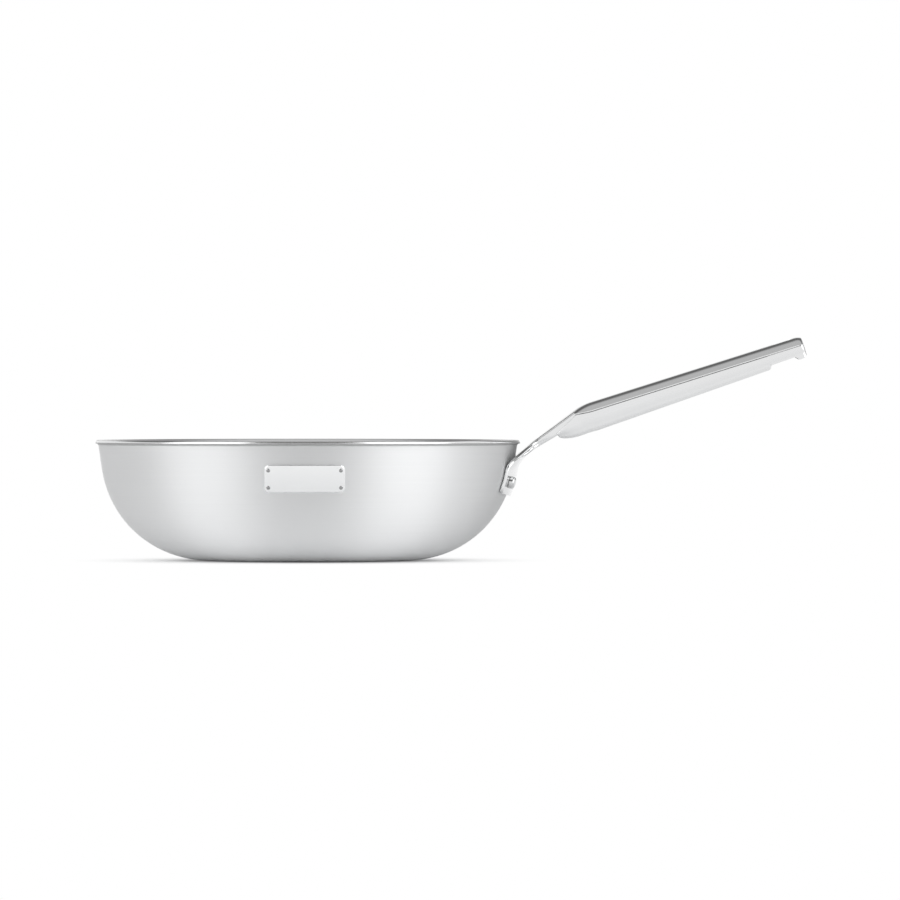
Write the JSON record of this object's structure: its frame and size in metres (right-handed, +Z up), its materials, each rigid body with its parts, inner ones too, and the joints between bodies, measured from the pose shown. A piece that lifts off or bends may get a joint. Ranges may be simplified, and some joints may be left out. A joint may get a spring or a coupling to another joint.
{
  "type": "stir-fry pan",
  "caption": "Deep clad-steel stir-fry pan with a flat base, a turned-out pouring lip, a blank name plate and a long riveted hollow steel handle with a hanging slot.",
  "frame": {"origin": "centre of the flat base underside, where the pan stands on the hob", "axes": "+Z up, +X from the bowl's centre towards the handle, -Y is the side with the name plate"},
  "size_m": [0.4688, 0.28, 0.147],
  "materials": {
    "satin_steel": "stainless steel with a fine round-the-bowl satin brushing",
    "core_aluminium": "rolled aluminium, bare at the trimmed lip edge",
    "liner_steel": "stainless steel, finely turned and bright",
    "plate_steel": "bright stainless sheet, blank",
    "pin_steel": "darkened steel pin heads",
    "polished_steel": "polished stainless steel",
    "rivet_steel": "polished stainless steel"
  },
  "bodies": {
    "root": {"outer_skin": "satin_steel", "aluminium_core": "core_aluminium", "inner_liner": "liner_steel", "name_plate": "plate_steel", "plate_pin_1": "pin_steel", "plate_pin_2": "pin_steel", "plate_pin_3": "pin_steel", "plate_pin_4": "pin_steel", "handle_stem": "polished_steel", "handle_rivet_1": "rivet_steel", "handle_rivet_2": "rivet_steel", "grip_top": "polished_steel", "grip_belly": "polished_steel"}
  },
  "joints": []
}
